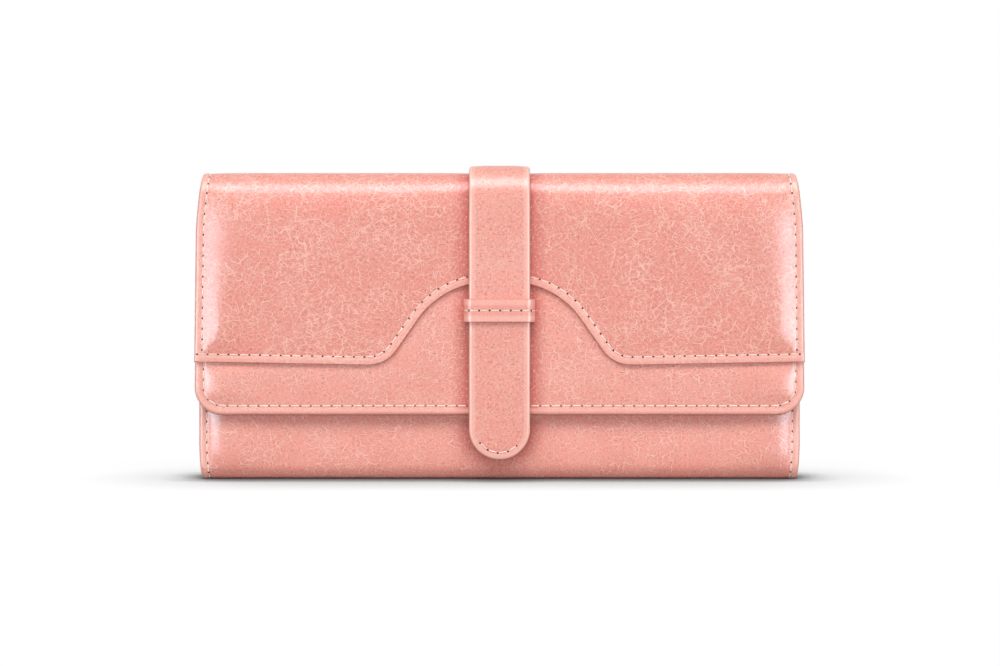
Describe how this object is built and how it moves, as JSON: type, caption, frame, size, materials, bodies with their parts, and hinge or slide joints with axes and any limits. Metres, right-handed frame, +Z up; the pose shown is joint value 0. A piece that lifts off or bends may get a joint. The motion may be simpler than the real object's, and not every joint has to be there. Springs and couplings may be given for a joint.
{
  "type": "flap-over clutch wallet",
  "caption": "Long leather clutch wallet with a fold-over flap, pleated sides, a zipped coin pocket, card slots and a strap that runs through a keeper to a snap.",
  "frame": {"origin": "middle of the flat underside of the base, on the surface that the wallet stands on", "axes": "+X along the wallet's length, -Y out of the front with the flap, +Z up"},
  "size_m": [0.1962, 0.036, 0.1013],
  "materials": {
    "pink_leather": "waxed pull-up leather, pale crackle and fine grain, satin",
    "strap_leather": "waxed pull-up leather with rounded pale edges",
    "slot_leather": "thin smooth leather of the card slots and side walls",
    "lining_cloth": "woven lining, matt",
    "board": "plain stiffening board, hidden",
    "zip_tape": "woven tape with a row of metal teeth",
    "snap_metal": "plated, polished"
  },
  "bodies": {
    "root": {"back_cover": "pink_leather", "back_board": "board", "back_lining": "lining_cloth", "card_slot_1": "slot_leather", "card_slot_2": "slot_leather", "card_slot_3": "slot_leather", "gusset_left": "slot_leather", "gusset_right": "slot_leather", "strap_rear": "strap_leather"},
    "pocket": {"coin_pocket": "lining_cloth", "zip_row_rear": "zip_tape", "zip_row_front": "zip_tape", "zip_stop_start": "snap_metal", "zip_stop_end": "snap_metal"},
    "slider": {"zip_slider": "snap_metal"},
    "pull": {"zip_pull": "snap_metal"},
    "front": {"front_cover": "pink_leather", "front_board": "board", "front_lining": "lining_cloth", "snap_socket": "snap_metal"},
    "top": {"top_cover": "pink_leather", "top_lining": "lining_cloth", "strap_top": "strap_leather", "strap_bend_rear": "strap_leather", "strap_bend_front": "strap_leather"},
    "flap": {"flap_yoke": "pink_leather", "flap_panel": "pink_leather", "flap_board": "board", "flap_lining": "lining_cloth", "flap_pocket": "lining_cloth", "keeper": "strap_leather", "strap_front": "strap_leather"},
    "tip": {"strap_tip": "strap_leather", "snap_stud": "snap_metal"}
  },
  "joints": [
    {"name": "rear_crease", "type": "hinge", "parent": "root", "child": "top", "pos_m": [0, 0.00961, 0.09681], "axis": [-1, 0, 0], "range_deg": [0, 90], "deforming": ["strap_bend_rear"]},
    {"name": "front_crease", "type": "hinge", "parent": "top", "child": "flap", "pos_m": [0, -0.01591, 0.09681], "axis": [-1, 0, 0], "range_deg": [0, 90], "deforming": ["strap_bend_front"]},
    {"name": "strap_lift", "type": "hinge", "parent": "flap", "child": "tip", "pos_m": [0, -0.0204, 0.0497], "axis": [-1, 0, 0], "range_deg": [0, 80]},
    {"name": "front_spread", "type": "hinge", "parent": "root", "child": "front", "pos_m": [0, -0.01026, 0.00154], "axis": [1, 0, 0], "range_deg": [0, 16.2], "deforming": ["gusset_left", "gusset_right"]},
    {"name": "pocket_spread", "type": "hinge", "parent": "root", "child": "pocket", "pos_m": [0, -0.0012, 0.0054], "axis": [1, 0, 0], "range_deg": [0, 8.1]},
    {"name": "zip_slide", "type": "slide", "parent": "pocket", "child": "slider", "axis": [1, 0, 0], "range_m": [0, 0.14]},
    {"name": "pull_swing", "type": "hinge", "parent": "slider", "child": "pull", "pos_m": [-0.07, -0.0012, 0.076], "axis": [0, -1, 0], "range_deg": [0, 170]}
  ],
  "couplings": [
    {"joint": "front_spread", "follows": "rear_crease", "ratio": 0.18},
    {"joint": "pocket_spread", "follows": "rear_crease", "ratio": 0.09}
  ]
}
